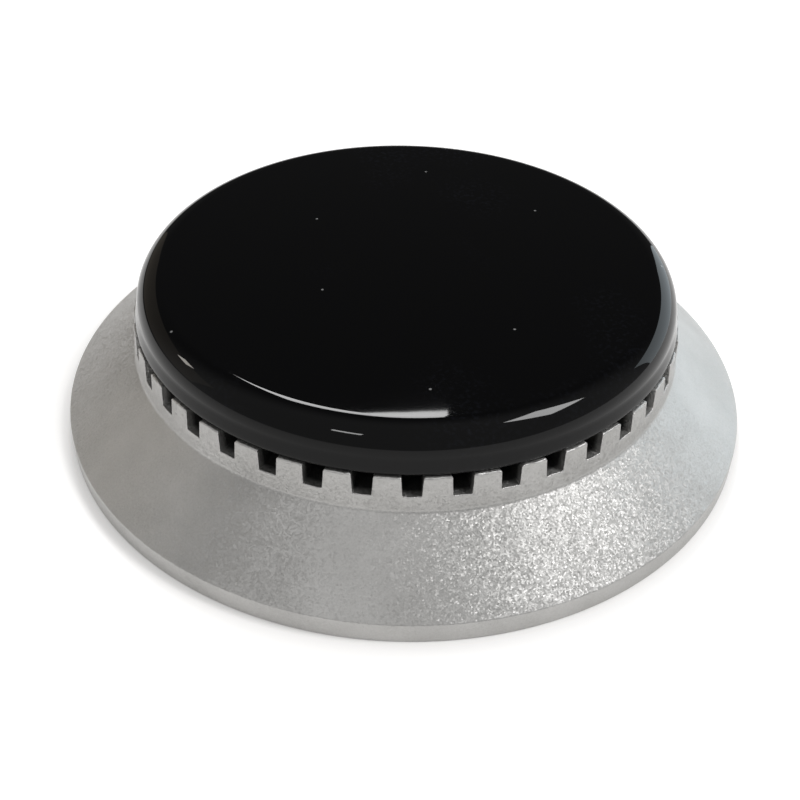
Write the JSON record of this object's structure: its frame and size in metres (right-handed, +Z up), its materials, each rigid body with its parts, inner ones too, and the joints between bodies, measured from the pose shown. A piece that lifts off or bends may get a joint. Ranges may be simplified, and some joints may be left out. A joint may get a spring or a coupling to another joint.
{
  "type": "gas hob burner head",
  "caption": "Round gas hob burner head: a cast crown with a flared skirt and a slotted ring of flame ports, and a black enamelled cap that rests on the ring.",
  "frame": {"origin": "centre of the circle of the rim, in the plane that the rim stands on", "axes": "+Z upwards along the axis of the mixing tube, from the rim to the cap; +Y towards the back, between the electrode hole and the thermocouple hole; one port lies on -Y"},
  "size_m": [0.096, 0.096, 0.0221],
  "materials": {
    "cast_alloy": "die-cast and shot-blasted, dull satin with a fine sparkling grain",
    "black_enamel": "smooth gloss black vitreous enamel on sheet steel"
  },
  "bodies": {
    "root": {"burner_crown": "cast_alloy", "burner_cap": "black_enamel"}
  },
  "joints": []
}
